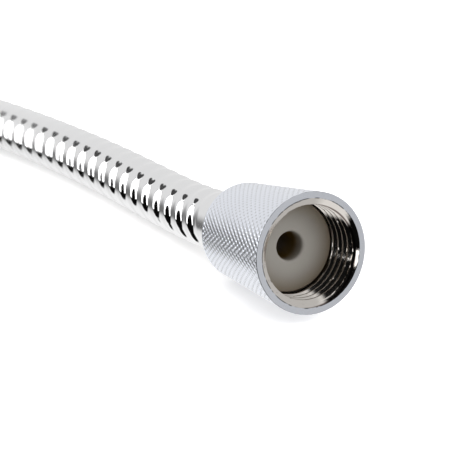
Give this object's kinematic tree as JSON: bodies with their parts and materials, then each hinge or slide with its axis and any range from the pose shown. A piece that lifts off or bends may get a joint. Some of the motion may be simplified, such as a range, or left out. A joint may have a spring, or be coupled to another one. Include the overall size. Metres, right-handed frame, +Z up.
{
  "type": "flexible shower hose",
  "caption": "Flexible metal shower hose for a bath sprayer, with a knurled, threaded swivel nut on each end and its spare length coiled.",
  "frame": {"origin": "on the surface that the hose lies on, under the middle of the near nut", "axes": "+X out of the near nut's mouth, seen from above and to within 6.5 degrees, and along the lead of the hose; +Z up"},
  "size_m": [0.2713, 0.1873, 0.0271],
  "materials": {
    "nut_chrome": "satin chrome plate over a fine knurl",
    "armour_metal": "polished, wound metal strip",
    "tail_plastic": "matt moulded plastic",
    "ferrule_steel": "drawn steel sleeve",
    "slip_ring_nylon": "natural nylon",
    "washer_rubber": "black sealing rubber",
    "tube_rubber": "smooth extruded rubber"
  },
  "bodies": {
    "hose": {"armour_lead": "armour_metal", "armour_coil": "armour_metal", "armour_end": "armour_metal", "tube_lead": "tube_rubber", "tube_coil": "tube_rubber", "tube_end": "tube_rubber", "near_tail": "tail_plastic", "near_ferrule": "ferrule_steel", "far_tail": "tail_plastic", "far_ferrule": "ferrule_steel", "far_washer": "washer_rubber"},
    "near_ring": {"near_slip_ring": "slip_ring_nylon"},
    "near_nut": {"near_nut": "nut_chrome"},
    "far_ring": {"far_slip_ring": "slip_ring_nylon"},
    "far_nut": {"far_nut": "nut_chrome"}
  },
  "joints": [
    {"name": "near_nut_slide", "type": "slide", "parent": "hose", "child": "near_ring", "axis": [0.9848, -0.1122, 0.1323], "range_m": [-0.012, 0]},
    {"name": "near_nut_spin", "type": "hinge", "parent": "near_ring", "child": "near_nut", "pos_m": [0.0137, -0.00061, 0.01367], "axis": [0.9848, -0.1122, 0.1323], "continuous": true},
    {"name": "far_nut_slide", "type": "slide", "parent": "hose", "child": "far_ring", "axis": [0.9857, 0.1683, 0], "range_m": [-0.012, 0]},
    {"name": "far_nut_spin", "type": "hinge", "parent": "far_ring", "child": "far_nut", "pos_m": [-0.02253, -0.14787, 0.012], "axis": [0.9857, 0.1683, 0], "continuous": true}
  ]
}
